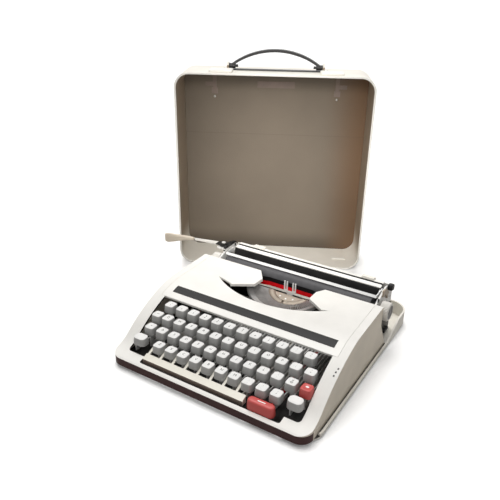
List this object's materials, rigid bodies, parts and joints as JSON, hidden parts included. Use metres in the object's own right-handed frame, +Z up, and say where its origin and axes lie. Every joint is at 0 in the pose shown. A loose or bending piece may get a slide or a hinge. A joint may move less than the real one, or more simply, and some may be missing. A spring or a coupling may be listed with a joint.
{
  "type": "manual typewriter",
  "caption": "Portable manual typewriter with moving keys, carriage, platen and type bar, in a case tray, with the case lid standing behind it.",
  "frame": {"origin": "on the desk, in the middle of the case tray's footprint", "axes": "+X to the typist's right, +Y from the typist to the back, +Z up"},
  "size_m": [0.4359, 0.4994, 0.358],
  "materials": {
    "case_cream": "satin",
    "housing_beige": "satin",
    "cover_white": "satin",
    "key_grey": "satin",
    "key_red": "satin",
    "bar_grey": "satin",
    "steel": "brushed",
    "chrome": "polished",
    "segment_taupe": "matt",
    "black_rubber": "matt",
    "platen_rubber": "matt",
    "ribbon_cloth": "matt",
    "black_metal": "satin",
    "knob_plastic": "matt",
    "lever_tan": "satin",
    "black_plastic": "satin",
    "bell_brass": "satin"
  },
  "bodies": {
    "machine": {"base_tray": "case_cream", "rubber_feet": "black_rubber", "top_housing": "housing_beige", "chassis": "black_metal", "key_shaft": "steel", "type_segment": "segment_taupe", "type_bars": "steel", "ribbon": "ribbon_cloth", "bell": "bell_brass"},
    "carriage": {"carriage_frame": "cover_white", "paper_table": "black_metal"},
    "platen_roller": {"platen": "platen_rubber", "platen_knobs": "knob_plastic"},
    "paper_bail_arm": {"paper_bail": "chrome"},
    "return_lever_arm": {"return_lever": "lever_tan"},
    "paper_release": {"paper_release_lever": "lever_tan"},
    "margin_stop_l": {"margin_stop_left": "key_grey"},
    "margin_stop_r": {"margin_stop_right": "key_grey"},
    "cover": {"ribbon_cover": "cover_white"},
    "lid": {"lid_shell": "case_cream"},
    "handle": {"lid_handle": "black_plastic"},
    "catches": {"lid_catches": "steel"},
    "drum": {"mainspring_drum": "steel"},
    "spool_left": {"ribbon_spool_left": "black_metal"},
    "spool_right": {"ribbon_spool_right": "black_metal"},
    "guide": {"ribbon_guide": "steel"},
    "type_bar": {"type_bar_h": "steel"},
    "space": {"space_bar": "bar_grey"},
    "tab": {"tab_bar": "key_red"},
    "backspace": {"backspace_key": "key_red"},
    "shifts": {"shift_keys": "key_grey"},
    "lock": {"shift_lock_key": "key_grey"},
    "margin_release": {"margin_release_key": "key_grey"},
    "number_keys": {"number_and_sign_keys": "key_grey"},
    "key_a": {"key_a": "key_grey"},
    "key_b": {"key_b": "key_grey"},
    "key_c": {"key_c": "key_grey"},
    "key_d": {"key_d": "key_grey"},
    "key_e": {"key_e": "key_grey"},
    "key_f": {"key_f": "key_grey"},
    "key_g": {"key_g": "key_grey"},
    "key_h": {"key_h": "key_grey"},
    "key_i": {"key_i": "key_grey"},
    "key_j": {"key_j": "key_grey"},
    "key_k": {"key_k": "key_grey"},
    "key_l": {"key_l": "key_grey"},
    "key_m": {"key_m": "key_grey"},
    "key_n": {"key_n": "key_grey"},
    "key_o": {"key_o": "key_grey"},
    "key_p": {"key_p": "key_grey"},
    "key_q": {"key_q": "key_grey"},
    "key_r": {"key_r": "key_grey"},
    "key_s": {"key_s": "key_grey"},
    "key_t": {"key_t": "key_grey"},
    "key_u": {"key_u": "key_grey"},
    "key_v": {"key_v": "key_grey"},
    "key_w": {"key_w": "key_grey"},
    "key_x": {"key_x": "key_grey"},
    "key_y": {"key_y": "key_grey"},
    "key_z": {"key_z": "key_grey"}
  },
  "joints": [
    {"name": "carriage_slide", "type": "slide", "parent": "machine", "child": "carriage", "axis": [1, 0, 0], "range_m": [-0.105, 0.105]},
    {"name": "key_h_press", "type": "hinge", "parent": "machine", "child": "key_h", "pos_m": [0, 0.046, 0.012], "axis": [1, 0, 0], "range_deg": [0, 3.5], "stiffness_Nm_per_rad": 0.5, "springref_deg": -8.59},
    {"name": "platen_turn", "type": "hinge", "parent": "carriage", "child": "platen_roller", "pos_m": [0.006, 0.064, 0.061], "axis": [1, 0, 0], "continuous": true},
    {"name": "return_lever_swing", "type": "hinge", "parent": "carriage", "child": "return_lever_arm", "pos_m": [-0.12825, 0.078, 0.083], "axis": [0, 0, 1], "range_deg": [0, 28], "stiffness_Nm_per_rad": 0.05, "springref_deg": -5.73},
    {"name": "paper_bail_swing", "type": "hinge", "parent": "carriage", "child": "paper_bail_arm", "pos_m": [0.006, 0.087, 0.076], "axis": [-1, 0, 0], "range_deg": [0, 55]},
    {"name": "paper_release_swing", "type": "hinge", "parent": "carriage", "child": "paper_release", "pos_m": [0.1335, 0.091, 0.0705], "axis": [1, 0, 0], "range_deg": [0, 20]},
    {"name": "cover_lift", "type": "slide", "parent": "machine", "child": "cover", "axis": [0, 0, 1], "range_m": [0, 0.07]},
    {"name": "lid_lift", "type": "slide", "parent": "machine", "child": "lid", "axis": [0, 0, 1], "range_m": [0, 0.2]},
    {"name": "lid_handle_swing", "type": "hinge", "parent": "lid", "child": "handle", "pos_m": [-0.133, 0.23185, 0.332], "axis": [0.8857, 0.4642, 0], "range_deg": [-45, 45]},
    {"name": "lid_catch_slide", "type": "slide", "parent": "lid", "child": "catches", "axis": [0, 0, 1], "range_m": [0, 0.008]},
    {"name": "space_bar_press", "type": "hinge", "parent": "machine", "child": "space", "pos_m": [0, 0.046, 0.012], "axis": [1, 0, 0], "range_deg": [0, 1.9], "stiffness_Nm_per_rad": 0.5, "springref_deg": -8.59},
    {"name": "shift_press", "type": "hinge", "parent": "machine", "child": "shifts", "pos_m": [0, 0.046, 0.012], "axis": [1, 0, 0], "range_deg": [0, 3], "stiffness_Nm_per_rad": 0.5, "springref_deg": -8.59},
    {"name": "key_a_press", "type": "hinge", "parent": "machine", "child": "key_a", "pos_m": [0, 0.046, 0.012], "axis": [1, 0, 0], "range_deg": [0, 3.5], "stiffness_Nm_per_rad": 0.5, "springref_deg": -8.59},
    {"name": "number_and_sign_key_press", "type": "hinge", "parent": "machine", "child": "number_keys", "pos_m": [0, 0.046, 0.012], "axis": [1, 0, 0], "range_deg": [0, 3.2], "stiffness_Nm_per_rad": 0.5, "springref_deg": -8.59},
    {"name": "type_bar_h_swing", "type": "hinge", "parent": "machine", "child": "type_bar", "pos_m": [0.006, 0.02801, 0.04638], "axis": [-1, 0, 0], "range_deg": [0, 118]},
    {"name": "ribbon_guide_lift", "type": "slide", "parent": "machine", "child": "guide", "axis": [0, 0, 1], "range_m": [0, 0.006]},
    {"name": "margin_stop_left_slide", "type": "slide", "parent": "carriage", "child": "margin_stop_l", "axis": [1, 0, 0], "range_m": [-0.03, 0.06]},
    {"name": "margin_stop_right_slide", "type": "slide", "parent": "carriage", "child": "margin_stop_r", "axis": [1, 0, 0], "range_m": [-0.06, 0.015]},
    {"name": "mainspring_drum_turn", "type": "hinge", "parent": "machine", "child": "drum", "pos_m": [-0.098, 0.1, 0.02], "axis": [0, 0, 1], "range_deg": [-320, 320]},
    {"name": "ribbon_spool_left_turn", "type": "hinge", "parent": "machine", "child": "spool_left", "pos_m": [-0.09, 0.02, 0.06], "axis": [0, 0, 1], "continuous": true},
    {"name": "ribbon_spool_right_turn", "type": "hinge", "parent": "machine", "child": "spool_right", "pos_m": [0.102, 0.02, 0.06], "axis": [0, 0, 1], "continuous": true},
    {"name": "tab_bar_press", "type": "hinge", "parent": "machine", "child": "tab", "pos_m": [0, 0.046, 0.012], "axis": [1, 0, 0], "range_deg": [0, 1.9], "stiffness_Nm_per_rad": 0.5, "springref_deg": -8.59},
    {"name": "backspace_press", "type": "hinge", "parent": "machine", "child": "backspace", "pos_m": [0, 0.046, 0.012], "axis": [1, 0, 0], "range_deg": [0, 3.5], "stiffness_Nm_per_rad": 0.5, "springref_deg": -8.59},
    {"name": "shift_lock_press", "type": "hinge", "parent": "machine", "child": "lock", "pos_m": [0, 0.046, 0.012], "axis": [1, 0, 0], "range_deg": [0, 3.5], "stiffness_Nm_per_rad": 0.5, "springref_deg": -8.59},
    {"name": "margin_release_press", "type": "hinge", "parent": "machine", "child": "margin_release", "pos_m": [0, 0.046, 0.012], "axis": [1, 0, 0], "range_deg": [0, 3.6], "stiffness_Nm_per_rad": 0.5, "springref_deg": -8.59},
    {"name": "key_b_press", "type": "hinge", "parent": "machine", "child": "key_b", "pos_m": [0, 0.046, 0.012], "axis": [1, 0, 0], "range_deg": [0, 3.2], "stiffness_Nm_per_rad": 0.5, "springref_deg": -8.59},
    {"name": "key_c_press", "type": "hinge", "parent": "machine", "child": "key_c", "pos_m": [0, 0.046, 0.012], "axis": [1, 0, 0], "range_deg": [0, 3.2], "stiffness_Nm_per_rad": 0.5, "springref_deg": -8.59},
    {"name": "key_d_press", "type": "hinge", "parent": "machine", "child": "key_d", "pos_m": [0, 0.046, 0.012], "axis": [1, 0, 0], "range_deg": [0, 3.5], "stiffness_Nm_per_rad": 0.5, "springref_deg": -8.59},
    {"name": "key_e_press", "type": "hinge", "parent": "machine", "child": "key_e", "pos_m": [0, 0.046, 0.012], "axis": [1, 0, 0], "range_deg": [0, 3.6], "stiffness_Nm_per_rad": 0.5, "springref_deg": -8.59},
    {"name": "key_f_press", "type": "hinge", "parent": "machine", "child": "key_f", "pos_m": [0, 0.046, 0.012], "axis": [1, 0, 0], "range_deg": [0, 3.5], "stiffness_Nm_per_rad": 0.5, "springref_deg": -8.59},
    {"name": "key_g_press", "type": "hinge", "parent": "machine", "child": "key_g", "pos_m": [0, 0.046, 0.012], "axis": [1, 0, 0], "range_deg": [0, 3.5], "stiffness_Nm_per_rad": 0.5, "springref_deg": -8.59},
    {"name": "key_i_press", "type": "hinge", "parent": "machine", "child": "key_i", "pos_m": [0, 0.046, 0.012], "axis": [1, 0, 0], "range_deg": [0, 3.6], "stiffness_Nm_per_rad": 0.5, "springref_deg": -8.59},
    {"name": "key_j_press", "type": "hinge", "parent": "machine", "child": "key_j", "pos_m": [0, 0.046, 0.012], "axis": [1, 0, 0], "range_deg": [0, 3.5], "stiffness_Nm_per_rad": 0.5, "springref_deg": -8.59},
    {"name": "key_k_press", "type": "hinge", "parent": "machine", "child": "key_k", "pos_m": [0, 0.046, 0.012], "axis": [1, 0, 0], "range_deg": [0, 3.5], "stiffness_Nm_per_rad": 0.5, "springref_deg": -8.59},
    {"name": "key_l_press", "type": "hinge", "parent": "machine", "child": "key_l", "pos_m": [0, 0.046, 0.012], "axis": [1, 0, 0], "range_deg": [0, 3.5], "stiffness_Nm_per_rad": 0.5, "springref_deg": -8.59},
    {"name": "key_m_press", "type": "hinge", "parent": "machine", "child": "key_m", "pos_m": [0, 0.046, 0.012], "axis": [1, 0, 0], "range_deg": [0, 3.2], "stiffness_Nm_per_rad": 0.5, "springref_deg": -8.59},
    {"name": "key_n_press", "type": "hinge", "parent": "machine", "child": "key_n", "pos_m": [0, 0.046, 0.012], "axis": [1, 0, 0], "range_deg": [0, 3.2], "stiffness_Nm_per_rad": 0.5, "springref_deg": -8.59},
    {"name": "key_o_press", "type": "hinge", "parent": "machine", "child": "key_o", "pos_m": [0, 0.046, 0.012], "axis": [1, 0, 0], "range_deg": [0, 3.6], "stiffness_Nm_per_rad": 0.5, "springref_deg": -8.59},
    {"name": "key_p_press", "type": "hinge", "parent": "machine", "child": "key_p", "pos_m": [0, 0.046, 0.012], "axis": [1, 0, 0], "range_deg": [0, 3.6], "stiffness_Nm_per_rad": 0.5, "springref_deg": -8.59},
    {"name": "key_q_press", "type": "hinge", "parent": "machine", "child": "key_q", "pos_m": [0, 0.046, 0.012], "axis": [1, 0, 0], "range_deg": [0, 3.6], "stiffness_Nm_per_rad": 0.5, "springref_deg": -8.59},
    {"name": "key_r_press", "type": "hinge", "parent": "machine", "child": "key_r", "pos_m": [0, 0.046, 0.012], "axis": [1, 0, 0], "range_deg": [0, 3.6], "stiffness_Nm_per_rad": 0.5, "springref_deg": -8.59},
    {"name": "key_s_press", "type": "hinge", "parent": "machine", "child": "key_s", "pos_m": [0, 0.046, 0.012], "axis": [1, 0, 0], "range_deg": [0, 3.5], "stiffness_Nm_per_rad": 0.5, "springref_deg": -8.59},
    {"name": "key_t_press", "type": "hinge", "parent": "machine", "child": "key_t", "pos_m": [0, 0.046, 0.012], "axis": [1, 0, 0], "range_deg": [0, 3.6], "stiffness_Nm_per_rad": 0.5, "springref_deg": -8.59},
    {"name": "key_u_press", "type": "hinge", "parent": "machine", "child": "key_u", "pos_m": [0, 0.046, 0.012], "axis": [1, 0, 0], "range_deg": [0, 3.6], "stiffness_Nm_per_rad": 0.5, "springref_deg": -8.59},
    {"name": "key_v_press", "type": "hinge", "parent": "machine", "child": "key_v", "pos_m": [0, 0.046, 0.012], "axis": [1, 0, 0], "range_deg": [0, 3.2], "stiffness_Nm_per_rad": 0.5, "springref_deg": -8.59},
    {"name": "key_w_press", "type": "hinge", "parent": "machine", "child": "key_w", "pos_m": [0, 0.046, 0.012], "axis": [1, 0, 0], "range_deg": [0, 3.6], "stiffness_Nm_per_rad": 0.5, "springref_deg": -8.59},
    {"name": "key_x_press", "type": "hinge", "parent": "machine", "child": "key_x", "pos_m": [0, 0.046, 0.012], "axis": [1, 0, 0], "range_deg": [0, 3.2], "stiffness_Nm_per_rad": 0.5, "springref_deg": -8.59},
    {"name": "key_y_press", "type": "hinge", "parent": "machine", "child": "key_y", "pos_m": [0, 0.046, 0.012], "axis": [1, 0, 0], "range_deg": [0, 3.6], "stiffness_Nm_per_rad": 0.5, "springref_deg": -8.59},
    {"name": "key_z_press", "type": "hinge", "parent": "machine", "child": "key_z", "pos_m": [0, 0.046, 0.012], "axis": [1, 0, 0], "range_deg": [0, 3.2], "stiffness_Nm_per_rad": 0.5, "springref_deg": -8.59}
  ],
  "couplings": [
    {"joint": "type_bar_h_swing", "follows": "key_h_press", "ratio": 33.714},
    {"joint": "ribbon_guide_lift", "follows": "key_h_press", "m_per_rad": 0.09812},
    {"joint": "mainspring_drum_turn", "follows": "carriage_slide", "rad_per_m": 50},
    {"joint": "ribbon_spool_right_turn", "follows": "ribbon_spool_left_turn", "ratio": 1}
  ]
}
